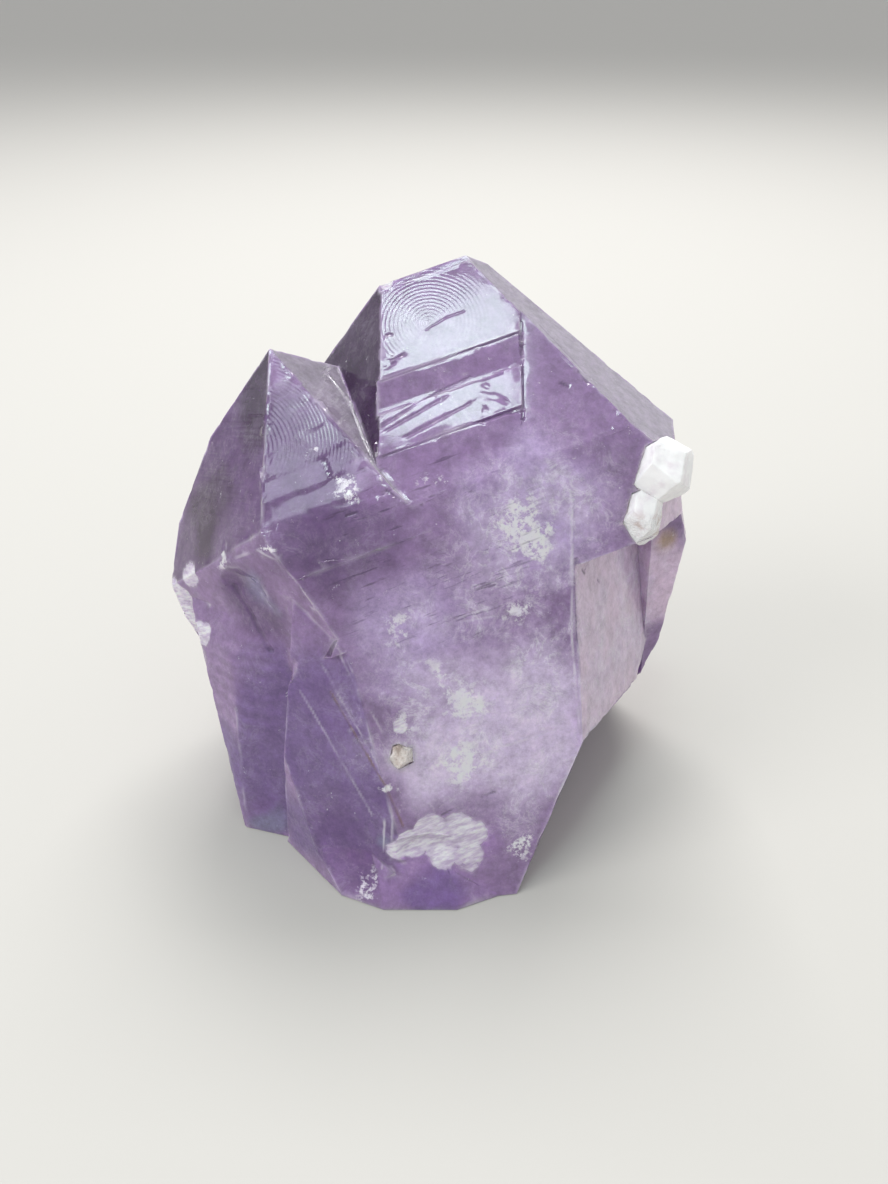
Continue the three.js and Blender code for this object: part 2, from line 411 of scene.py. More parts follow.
    @staticmethod
    def cloud(places: np.ndarray, size_mm: float, offset: float = 0.0) -> np.ndarray:
        """Gives smooth noise from -1 to 1 at each place.

        Args:
            places: The places in metres.
            size_mm: The size of the noise's lumps.
            offset: Moves to another part of the noise.

        Returns:
            One value for each place.
        """
        scale = 1.0 / (size_mm * MM)
        start = Vector((offset, -offset, 2 * offset))
        return np.array([noise.noise(Vector(p) * scale + start) for p in places])

    @staticmethod
    def store(piece: bpy.types.Object, name: str, values: np.ndarray) -> None:
        """Keeps a value or a colour for each vertex as an attribute that a material reads."""
        if values.ndim == 2:
            attribute = piece.data.attributes.new(name, "FLOAT_COLOR", "POINT")
            attribute.data.foreach_set("color", values.astype(np.float32).ravel())
            return
        attribute = piece.data.attributes.new(name, "FLOAT", "POINT")
        attribute.data.foreach_set("value", values.astype(np.float32))


@dataclass(frozen=True)
class Zone:
    """A soft-edged ball of space round what a pixel of the photograph shows."""

    pixel: tuple[float, float]
    reach_mm: float
    core_mm: float = 0.0
    depth_mm: float = 0.0

    def away(self, places: np.ndarray) -> np.ndarray:
        """Gives each place's distance from the middle, in millimetres."""
        middle = np.array(VIEW.spot(self.pixel, self.depth_mm))
        return np.linalg.norm(places - middle, axis=1) / MM

    def strength(self, places: np.ndarray) -> np.ndarray:
        """Gives how far inside the zone each place is, from 0 to 1."""
        return eased((self.reach_mm - self.away(places)) / (self.reach_mm - self.core_mm))


@dataclass(frozen=True)
class ColourZone(Zone):
    """A zone of the crystal that has its own tone, on one face of it or on all."""

    tone: Tone = Tone.MAUVE
    one_face: bool = False

    def share(self, places: np.ndarray, normals: np.ndarray) -> np.ndarray:
        """Gives how much of the zone's tone each place takes.

        Args:
            places: The places in metres.
            normals: Where each place looks.

        Returns:
            The shares, from 0 to 1.
        """
        strength = self.strength(places)
        if not self.one_face:
            return strength
        least_likeness = 0.955
        full_after = 0.03
        likeness = normals @ np.array(VIEW.facing(self.pixel))
        return strength * np.clip((likeness - least_likeness) / full_after, 0, 1)


@dataclass(frozen=True)
class PlateFoot:
    """The line where a raised growth plate ends, and the slope that falls away from it."""

    start_px: tuple[float, float]
    end_px: tuple[float, float]
    fall_mm: float = 6.0

    def fill(self, places: np.ndarray, normal: Vector) -> np.ndarray:
        """Gives how much of the step down from the plate the slope fills, all of it at the foot.

        Args:
            places: The places in metres.
            normal: Where the face looks.

        Returns:
            The shares, nought on the plate's own side.
        """
        start, end = (VIEW.spot(pixel) for pixel in (self.start_px, self.end_px))
        down = np.array((end - start).cross(normal).normalized())
        down *= -np.sign(down[2])
        run = (places - np.array(start)) @ down / MM
        inside = (run > -0.5) & (run < self.fall_mm)
        return np.where(inside, 1 - np.clip(run, 0, None) / self.fall_mm, 0.0)


@dataclass(frozen=True)
class Groove:
    """A straight groove, crack or ridge between what two pixels of the photograph show."""

    start_px: tuple[float, float]
    end_px: tuple[float, float]
    half_width_mm: float
    depth_mm: float
    mark: Mark | None = None
    mark_strength: float = 0.6

    def away(self, places: np.ndarray) -> np.ndarray:
        """Gives each place's distance from the line, in millimetres."""
        start, end = (np.array(VIEW.spot(pixel)) for pixel in (self.start_px, self.end_px))
        run = end - start
        share = np.clip((places - start) @ run / (run @ run), 0.0, 1.0)
        return np.linalg.norm(places - start - share[:, None] * run, axis=1) / MM

    def strength(self, places: np.ndarray) -> np.ndarray:
        """Gives how deep in the line's profile each place is, from 0 to 1."""
        return eased(1.5 - self.away(places) / self.half_width_mm)


@dataclass(frozen=True)
class AmethystFinish:
    """Amethyst, a purple quartz, as grown and broken: glassy, see-through and clouded inside.

    Quartz gives a clear glass-like gloss. Light goes in and comes back purple from the depth, milky
    where veils of tiny bubbles fill the crystal, and frosty white where the surface is bruised.
    """

    name: str = "amethyst_as_grown"
    refraction: float = 1.544
    gloss_roughness: float = 0.09
    frost_roughness: float = 0.6
    depth_colour: str = "#BC93CC"
    depth_density: float = 26.0
    clear_share: float = 0.34
    glow_share: float = 0.4
    milk_colour: str = "#E2D2EE"
    # White of the bubble veils, also used for the painted glints and highlights.
    veil_and_highlight_colour: str = "#FBF8FD"
    frost_colour: str = "#FEFCFF"
    frost_shade: str = "#D3C2DC"
    dark_colour: str = "#3C2B48"
    brown_colour: str = "#8D6F62"
    cloud_mm: float = 11.0
    mottle_mm: float = 3.4
    wisp_mm: float = 7.0
    wisp_share: float = 0.9
    fleck_mm: float = 2.2
    dash_mm: float = 1.0
    brush_mm: float = 0.7
    main_ripple_px: tuple[float, float] = (429, 323)
    main_ripple_mm: float = 0.9
    left_ripple_px: tuple[float, float] = (242, 465)
    left_ripple_mm: float = 0.75
    shell_mm: float = 2.6

    def build(self) -> bpy.types.Material:
        """Makes the material, which reads the attributes that the body's sculpting stores."""
        graph = NodeGraph(self.name)
        spot = graph.add("ShaderNodeTexCoord", output="Object")
        frost = graph.add("ShaderNodeAttribute", output="Fac", attribute_name="frost")
        colour = self._clouds(graph, spot)
        colour = self._veils_and_glints(graph, spot, colour)
        colour = self._dashes(graph, spot, colour)
        colour = self._lines(graph, colour)
        surface = graph.add(
            "ShaderNodeBsdfPrincipled",
            {
                "Base Color": self._bruises(graph, spot, frost, colour),
                "Roughness": self._roughness(graph, frost),
                "IOR": self.refraction,
                "Transmission Weight": self.clear_share,
                "Subsurface Weight": self.glow_share,
                "Subsurface Radius": (0.8, 0.6, 1.0),
                "Subsurface Scale": 3 * MM,
                "Normal": self._relief(graph, spot, frost),
            },
        )
        depth = graph.add(
            "ShaderNodeVolumeAbsorption",
            {"Color": linear(self.depth_colour), "Density": self.depth_density},
        )
        graph.add("ShaderNodeOutputMaterial", {"Surface": surface, "Volume": depth})
        return graph.material

    @staticmethod
    def _stretched(graph: NodeGraph, spot: Socket, share: float) -> Socket:
        """Stretches space across the crystals' long axis, so that a noise there turns into growth lines."""
        upright = LATTICE.axis.rotation_difference(Vector((0, 0, 1))).to_euler()
        turned = graph.add("ShaderNodeMapping", {"Vector": spot, "Rotation": upright})
        return graph.add("ShaderNodeVectorMath", {0: turned, 1: (share, share, 1.0)}, operation="MULTIPLY")

    @staticmethod
    def _rings(graph: NodeGraph, spot: Socket, middle: Vector, size_mm: float, waver: float) -> Socket:
        """Gives rings round a middle, as a wave's height.

        Args:
            graph: The material's nodes.
            spot: The place.
            middle: The rings' middle.
            size_mm: The distance from ring to ring.
            waver: How much the rings waver.

        Returns:
            The height's socket, from 0 to 1.
        """
        wave_period = 0.314
        moved = graph.add("ShaderNodeVectorMath", {0: spot, 1: middle}, operation="SUBTRACT")
        return graph.add(
            "ShaderNodeTexWave",
            {
                "Vector": moved,
                "Scale": wave_period / (size_mm * MM),
                "Distortion": waver,
                "Detail": 2.0,
                "Detail Scale": 0.25,
            },
            output="Fac",
            wave_type="RINGS",
            rings_direction="SPHERICAL",
            wave_profile="SIN",
        )

    def _clouds(self, graph: NodeGraph, spot: Socket) -> Socket:
        """Lays milky clouds and fine mottling over the zoned tint."""
        tint = graph.add("ShaderNodeAttribute", output="Color", attribute_name="tint")
        amount = graph.add("ShaderNodeAttribute", output="Fac", attribute_name="milk")
        clouds = graph.add(
            "ShaderNodeTexNoise",
            {"Vector": spot, "Scale": 1 / (self.cloud_mm * MM), "Detail": 6.0, "Roughness": 0.66},
        )
        haze = graph.add(
            "ShaderNodeMapRange",
            {"Value": clouds, "From Min": 0.34, "From Max": 0.66},
            interpolation_type="SMOOTHSTEP",
        )
        milk = graph.add("ShaderNodeMath", {0: haze, 1: amount}, operation="MULTIPLY")
        milky = graph.add(
            "ShaderNodeMixRGB", {"Fac": milk, "Color1": tint, "Color2": linear(self.milk_colour)}
        )
        mottle = graph.add(
            "ShaderNodeTexNoise",
            {"Vector": spot, "Scale": 1 / (self.mottle_mm * MM), "Detail": 5.0, "Roughness": 0.82},
        )
        milky = self._wisps(graph, spot, milk, milky)
        value = graph.add(
            "ShaderNodeMapRange",
            {"Value": mottle, "From Min": 0.32, "From Max": 0.68, "To Min": 0.76, "To Max": 1.26},
        )
        return graph.add("ShaderNodeHueSaturation", {"Value": value, "Color": milky})

    def _wisps(self, graph: NodeGraph, spot: Socket, milk: Socket, colour: Socket) -> Socket:
        """Draws thin torn wisps of bubbles through the milky parts, along a noise's middle level."""
        folds = graph.add(
            "ShaderNodeTexNoise",
            {
                "Vector": spot,
                "Scale": 1 / (self.wisp_mm * MM),
                "Detail": 6.0,
                "Roughness": 0.72,
                "Distortion": 0.6,
            },
        )
        level = graph.add("ShaderNodeMath", {0: folds, 1: 0.5}, operation="SUBTRACT")
        away = graph.add("ShaderNodeMath", {0: level}, operation="ABSOLUTE")
        thin = graph.add(
            "ShaderNodeMapRange",
            {"Value": away, "From Min": 0.035, "From Max": 0.0, "To Max": self.wisp_share},
        )
        share = graph.add("ShaderNodeMath", {0: thin, 1: milk}, operation="MULTIPLY")
        return graph.add(
            "ShaderNodeMixRGB", {"Fac": share, "Color1": colour, "Color2": linear(self.veil_and_highlight_colour)}
        )

    def _veils_and_glints(self, graph: NodeGraph, spot: Socket, colour: Socket) -> Socket:
        """Adds the feathery veils of bubbles with the painted glints at the ledge, and white specks between
        them that are partly bubble flecks and partly painted glints.
        """
        amount = graph.add("ShaderNodeAttribute", output="Fac", attribute_name="veil_and_glint")
        flecks = graph.add(
            "ShaderNodeTexNoise",
            {"Vector": spot, "Scale": 1 / (self.fleck_mm * MM), "Detail": 4.0, "Roughness": 0.8},
        )
        crowded = graph.add("ShaderNodeMath", {0: amount, 1: 0.17, 2: flecks}, operation="MULTIPLY_ADD")
        feather = graph.add("ShaderNodeMapRange", {"Value": crowded, "From Min": 0.6, "From Max": 0.69})
        veil_and_glint = graph.add("ShaderNodeMath", {0: feather, 1: amount}, operation="MULTIPLY")
        veiled_and_glinting = graph.add(
            "ShaderNodeMixRGB", {"Fac": veil_and_glint, "Color1": colour, "Color2": linear(self.veil_and_highlight_colour)}
        )
        # White specks all over the body, partly bubble flecks and partly painted glints.
        specks_and_painted_glints = graph.add(
            "ShaderNodeMapRange", {"Value": flecks, "From Min": 0.66, "From Max": 0.74, "To Max": 0.7}
        )
        return graph.add(
            "ShaderNodeMixRGB", {"Fac": specks_and_painted_glints, "Color1": veiled_and_glinting, "Color2": linear(self.veil_and_highlight_colour)}
        )

    def _dashes(self, graph: NodeGraph, spot: Socket, colour: Socket) -> Socket:
        """Adds the fine dark dashes that lie along the growth lines inside the front face."""
        amount = graph.add("ShaderNodeAttribute", output="Fac", attribute_name="dash")
        streaks = graph.add(
            "ShaderNodeTexNoise",
            {
                "Vector": self._stretched(graph, spot, 0.14),
                "Scale": 1 / (self.dash_mm * MM),
                "Detail": 3.0,
                "Roughness": 0.5,
            },
        )
        sharp = graph.add(
            "ShaderNodeMapRange", {"Value": streaks, "From Min": 0.61, "From Max": 0.7, "To Max": 0.5}
        )
        dash = graph.add("ShaderNodeMath", {0: sharp, 1: amount}, operation="MULTIPLY")
        return graph.add(
            "ShaderNodeMixRGB", {"Fac": dash, "Color1": colour, "Color2": linear(self.dark_colour)}
        )

    def _lines(self, graph: NodeGraph, colour: Socket) -> Socket:
        """Draws the cracks and hairlines, the pale edge lines that are partly worn rims and partly painted
        highlights, the painted glints along the ledge and the painted shade in the valley below it.
        """
        for mark, line_colour in (
            (Mark.DARK, self.dark_colour),
            (Mark.BROWN, self.brown_colour),
            (Mark.PALE, self.veil_and_highlight_colour),
        ):
            line = graph.add("ShaderNodeAttribute", output="Fac", attribute_name=mark.value)
            colour = graph.add(
                "ShaderNodeMixRGB", {"Fac": line, "Color1": colour, "Color2": linear(line_colour)}
            )
        return colour

    def _bruises(self, graph: NodeGraph, spot: Socket, frost: Socket, colour: Socket) -> Socket:
        """Whitens the bruises, which have brushed lilac streaks."""
        brushed = graph.add(
            "ShaderNodeTexNoise",
            {
                "Vector": self._stretched(graph, spot, 0.25),
                "Scale": 1 / (self.brush_mm * MM),
                "Detail": 5.0,
                "Roughness": 0.65,
            },
        )
        share = graph.add("ShaderNodeMapRange", {"Value": brushed, "From Min": 0.38, "From Max": 0.62})
        white = graph.add(
            "ShaderNodeMixRGB",
            {"Fac": share, "Color1": linear(self.frost_shade), "Color2": linear(self.frost_colour)},
        )
        return graph.add("ShaderNodeMixRGB", {"Fac": frost, "Color1": colour, "Color2": white})

    def _roughness(self, graph: NodeGraph, frost: Socket) -> Socket:
        """Gives glassy faces, satin breaks and rough frost."""
        broken = graph.add("ShaderNodeAttribute", output="Fac", attribute_name="broken")
        satin = graph.add(
            "ShaderNodeMapRange",
            {"Value": broken, "To Min": self.gloss_roughness, "To Max": 2.2 * self.gloss_roughness},
        )
        rough = graph.add("ShaderNodeMath", {0: frost, 1: self.frost_roughness}, operation="MULTIPLY")
        return graph.add("ShaderNodeMath", {0: satin, 1: rough}, operation="MAXIMUM")

    def _relief(self, graph: NodeGraph, spot: Socket, frost: Socket) -> Socket:
        """Gives the surface's fine relief: ripples, growth lines, shells and bruised grain."""
        lined = {"Vector": self._stretched(graph, spot, 0.05), "Scale": 1 / (0.8 * MM), "Detail": 3.0}
        pitted = {"Vector": spot, "Scale": 1 / (2.4 * MM), "Detail": 4.0}
        gritty = {"Vector": spot, "Scale": 1 / (0.7 * MM), "Detail": 3.0, "Roughness": 0.6}
        broken = graph.add("ShaderNodeAttribute", output="Fac", attribute_name="broken")
        height: Socket | float = 0.0
        for pattern, mask, depth_mm in (
            (
                self._rings(graph, spot, VIEW.spot(self.main_ripple_px), self.main_ripple_mm, 2.5),
                graph.add("ShaderNodeAttribute", output="Fac", attribute_name="main_ripple"),
                0.008,
            ),
            (
                self._rings(graph, spot, VIEW.spot(self.left_ripple_px), self.left_ripple_mm, 5.0),
                graph.add("ShaderNodeAttribute", output="Fac", attribute_name="left_ripple"),
                0.016,
            ),
            (
                graph.add("ShaderNodeTexNoise", lined),
                graph.add("ShaderNodeAttribute", output="Fac", attribute_name="striate"),
                0.08,
            ),
            (self._rings(graph, spot, place(-10.0, -10.0, 20.0), self.shell_mm, 9.0), broken, 0.04),
            (graph.add("ShaderNodeTexNoise", pitted), broken, 0.1),
            (graph.add("ShaderNodeTexNoise", gritty), frost, 0.2),
        ):
            deep = graph.add("ShaderNodeMath", {0: pattern, 1: depth_mm * MM}, operation="MULTIPLY")
            height = graph.add("ShaderNodeMath", {0: deep, 1: mask, 2: height}, operation="MULTIPLY_ADD")
        return graph.add("ShaderNodeBump", {"Height": height, "Distance": 1.0})


@dataclass(frozen=True)
class WhiteQuartzFinish:
    """Milky white quartz: waxy and sugary, a little see-through at its thin edges."""

    name: str = "white_quartz_milky"
    colour: str = "#FFFDFD"
    tint: str = "#EDE6EB"
    stain: str = "#B79A7C"
    stain_share: float = 0.4
    roughness: float = 0.25
    clear_share: float = 0.12
    lump_mm: float = 3.0
    grain_mm: float = 0.5

    def build(self) -> bpy.types.Material:
        """Makes the material, which reads the attribute sugar."""
        graph = NodeGraph(self.name)
        spot = graph.add("ShaderNodeTexCoord", output="Object")
        sugar = graph.add("ShaderNodeAttribute", output="Fac", attribute_name="sugar")
        grains = graph.add(
            "ShaderNodeTexVoronoi", {"Vector": spot, "Scale": 1 / (self.grain_mm * MM)}, output="Distance"
        )
        depth = graph.add("ShaderNodeMapRange", {"Value": sugar, "To Min": 0.05, "To Max": 0.6})
        relief = graph.add(
            "ShaderNodeBump", {"Height": grains, "Strength": depth, "Distance": self.grain_mm * MM}
        )
        surface = graph.add(
            "ShaderNodeBsdfPrincipled",
            {
                "Base Color": self._colour(graph, spot, sugar),
                "Roughness": self.roughness,
                "IOR": 1.544,
                "Transmission Weight": self.clear_share,
                "Subsurface Weight": 0.5,
                "Subsurface Radius": (1.0, 0.95, 0.95),
                "Subsurface Scale": 3 * MM,
                "Normal": relief,
            },
        )
        graph.add("ShaderNodeOutputMaterial", {"Surface": surface})
        return graph.material

    def _colour(self, graph: NodeGraph, spot: Socket, sugar: Socket) -> Socket:
        """Clouds the white with a faint tint, and smudges its sugary part tan."""
        lumps = graph.add(
            "ShaderNodeTexNoise", {"Vector": spot, "Scale": 1 / (self.lump_mm * MM), "Detail": 8.0}
        )
        cloudy = graph.add("ShaderNodeMapRange", {"Value": lumps, "From Min": 0.45, "From Max": 0.7})
        tinted = graph.add(
            "ShaderNodeMixRGB", {"Fac": cloudy, "Color1": linear(self.colour), "Color2": linear(self.tint)}
        )
        smudges = graph.add(
            "ShaderNodeMapRange",
            {"Value": lumps, "From Min": 0.54, "From Max": 0.64, "To Max": self.stain_share},
        )
        share = graph.add("ShaderNodeMath", {0: smudges, 1: sugar}, operation="MULTIPLY")
        return graph.add("ShaderNodeMixRGB", {"Fac": share, "Color1": tinted, "Color2": linear(self.stain)})


# The tone of the crystal in each part of it, from the left point to the pale right.
COLOUR_ZONES = (
    ColourZone((240, 430), 60, 30, 0, Tone.SMOKY, True),
    ColourZone((205, 520), 17, 5, 0, Tone.DEEP, True),
    ColourZone((300, 450), 20, 8, 0, Tone.SMOKY),
    ColourZone((320, 530), 20, 6, 0, Tone.SMOKY),
    ColourZone((365, 350), 40, 25, 0, Tone.DEEP, True),
    ColourZone((350, 415), 40, 25, 0, Tone.DEEP, True),
    ColourZone((480, 440), 18, 5, 0, Tone.MAUVE),
    ColourZone((250, 600), 15, 4, 0, Tone.SMOKY),
    ColourZone((262, 592), 6, 1, 0, Tone.BLUISH),
    ColourZone((240, 690), 22, 8, 0, Tone.MAUVE),
    ColourZone((262, 785), 17, 5, 0, Tone.VIOLET),
    ColourZone((232, 765), 12, 4, 0, Tone.VIOLET),
    ColourZone((305, 830), 12, 5, 0, Tone.VIOLET),
    ColourZone((268, 822), 6, 2, 0, Tone.BLUISH),
    ColourZone((330, 760), 36, 24, 0, Tone.VIOLET, True),
    ColourZone((350, 850), 22, 2, 0, Tone.SMOKY, True),
    ColourZone((392, 842), 4, 1, 0, Tone.BLUISH),
    ColourZone((540, 520), 20, 5, 0, Tone.LAVENDER),
    ColourZone((420, 640), 20, 5, 0, Tone.LAVENDER),
    ColourZone((515, 730), 28, 10, 0, Tone.MILKY),
    ColourZone((430, 770), 14, 5, 0, Tone.MILKY),
    ColourZone((440, 888), 8, 4, 0, Tone.VIOLET),
    ColourZone((610, 620), 60, 40, 0, Tone.ROSY, True),
    ColourZone((668, 580), 16, 8, 0, Tone.ROSY),
    ColourZone((668, 545), 5, 1, 0, Tone.STAIN),
)

# Veils of white bubbles, the densest one upper right of the middle, and two painted glints on the ledge.
VEILS_AND_GLINTS = (
    Zone((522, 525), 10.0, 3.0),
    Zone((540, 548), 6.0, 1.0),
    Zone((515, 612), 4.5, 1.0),
    Zone((467, 702), 8.0, 2.0),
    Zone((462, 762), 9.0, 2.0),
    Zone((440, 670), 5.0, 1.0),
    Zone((400, 630), 5.0, 1.0),
    Zone((405, 728), 4.0, 1.0),
    Zone((388, 785), 3.0, 1.0),
    Zone((347, 490), 5.0, 1.0),
    Zone((310, 452), 3.0, 0.5),
    Zone((430, 478), 3.0, 0.6),
    # Painted glints on the ledge, drawn as small white patches.
    Zone((265, 545), 3.0, 0.6),
    Zone((222, 560), 3.0, 0.6),
    Zone((365, 885), 5.0, 1.0),
    Zone((522, 846), 6.0, 1.5),
)

# Bruised places, white and rough: low in front of the base, at the left edge and at the ridge's end.
BRUISES = (
    Zone((398, 850), 3.2, 1.6),
    Zone((412, 842), 4.6, 3.0),
    Zone((432, 832), 5.2, 3.6),
    Zone((456, 832), 5.6, 3.8),
    Zone((474, 834), 4.2, 2.4),
    Zone((468, 856), 5.0, 2.8),
    Zone((444, 852), 5.0, 3.0),
    Zone((180, 598), 6.4, 4.2),
    Zone((190, 614), 6.4, 4.4),
    Zone((201, 634), 4.2, 2.4),
    Zone((188, 575), 4.4, 2.0),
    Zone((386, 284), 1.8, 0.8),
    Zone((400, 727), 2.0, 0.8),
)

# The pits, cracks, growth lines and bright broken edges that stand out, with painted highlights along the
# ledge and the front's right edge and painted shade in the valley below the ledge.
GROOVES = (
    Groove((381, 426), (441, 391), 0.28, 0.12, Mark.DARK, 0.15),
    Groove((441, 391), (470, 377), 0.28, 0.14),
    Groove((386, 431), (447, 396), 0.26, 0.1, Mark.DARK, 0.12),
    Groove((406, 437), (470, 403), 0.3, 0.14, Mark.DARK, 0.1),
    Groove((427, 329), (447, 317), 0.22, 0.05),
    Groove((447, 317), (464, 311), 0.22, 0.07, Mark.DARK, 0.15),
    Groove((379, 338), (392, 334), 0.25, 0.15, Mark.DARK, 0.3),
    Groove((379, 366), (405, 354), 0.25, 0.15, Mark.DARK, 0.3),
    Groove((379, 372), (396, 362), 0.25, 0.15, Mark.DARK, 0.3),
    Groove((521, 322), (523, 420), 0.28, 0.25, Mark.DARK, 0.2),
    Groove((329, 375), (350, 402), 0.25, -0.1, Mark.PALE, 0.7),
    Groove((350, 402), (364, 440), 0.25, -0.1, Mark.PALE, 0.8),
    Groove((364, 440), (381, 480), 0.25, -0.1, Mark.PALE, 0.8),
    Groove((386, 490), (400, 500), 0.25, 0.12, Mark.DARK, 0.5),
    Groove((325, 460), (332, 479), 0.25, 0.12, Mark.DARK, 0.5),
    Groove((346, 516), (357, 512), 0.3, 0.12, Mark.DARK, 0.5),
    Groove((440, 625), (500, 603), 0.25, 0.06, Mark.PALE, 0.3),
    Groove((447, 624), (502, 615), 0.25, 0.06, Mark.PALE, 0.25),
    Groove((487, 752), (555, 730), 0.25, 0.06, Mark.PALE, 0.3),
    Groove((482, 797), (494, 792), 0.28, 0.12, Mark.DARK, 0.5),
    Groove((442, 815), (454, 809), 0.28, 0.12, Mark.DARK, 0.5),
    Groove((340, 655), (384, 735), 0.28, -0.1, Mark.PALE, 0.4),
    Groove((320, 660), (378, 765), 0.25, -0.08, Mark.PALE, 0.3),
    Groove((331, 692), (358, 740), 0.25, 0.15, Mark.BROWN, 0.6),
    Groove((358, 740), (386, 787), 0.28, 0.15, Mark.BROWN, 0.75),
    Groove((386, 787), (403, 826), 0.28, 0.15, Mark.BROWN, 0.7),
    Groove((300, 690), (372, 815), 0.25, -0.08, Mark.PALE, 0.3),
    Groove((385, 818), (382, 868), 0.28, -0.12, Mark.PALE, 0.5),
    Groove((393, 816), (391, 860), 0.28, -0.12, Mark.PALE, 0.4),
    Groove((578, 700), (588, 680), 0.25, 0.1, Mark.PALE, 0.5),
    Groove((540, 325), (585, 372), 0.25, 0.1, Mark.DARK, 0.25),
    Groove((580, 372), (588, 382), 0.5, 0.3, Mark.DARK, 0.4),
    # Painted glints along the ledge line, on low raised ridges.
    Groove((220, 563), (258, 550), 0.35, -0.1, Mark.PALE, 0.55),
    Groove((258, 550), (277, 560), 0.35, -0.1, Mark.PALE, 0.6),
    Groove((277, 560), (301, 588), 0.35, -0.1, Mark.PALE, 0.6),
    Groove((301, 588), (353, 672), 0.3, -0.1, Mark.PALE, 0.35),
    # Painted highlight along the front's right edge.
    Groove((572, 500), (572, 640), 0.3, -0.1, Mark.PALE, 0.45),
    Groove((572, 640), (580, 728), 0.3, -0.1, Mark.PALE, 0.45),
    Groove((577, 560), (578, 640), 0.5, 0.3, Mark.DARK, 0.3),
    # Painted shade along the valley below the ledge, in a shallow groove.
    Groove((235, 586), (270, 650), 0.7, 0.35, Mark.DARK, 0.35),
    Groove((270, 650), (290, 680), 0.6, 0.3, Mark.DARK, 0.35),
    Groove((583, 570), (585, 573), 0.35, 0.15, Mark.DARK, 0.6),
    Groove((598, 580), (600, 582), 0.3, 0.15, Mark.DARK, 0.6),
    Groove((561, 383), (567, 386), 0.4, 0.15, Mark.DARK, 0.5),
    Groove((576, 714), (620, 692), 0.25, 0.05, Mark.PALE, 0.4),
)


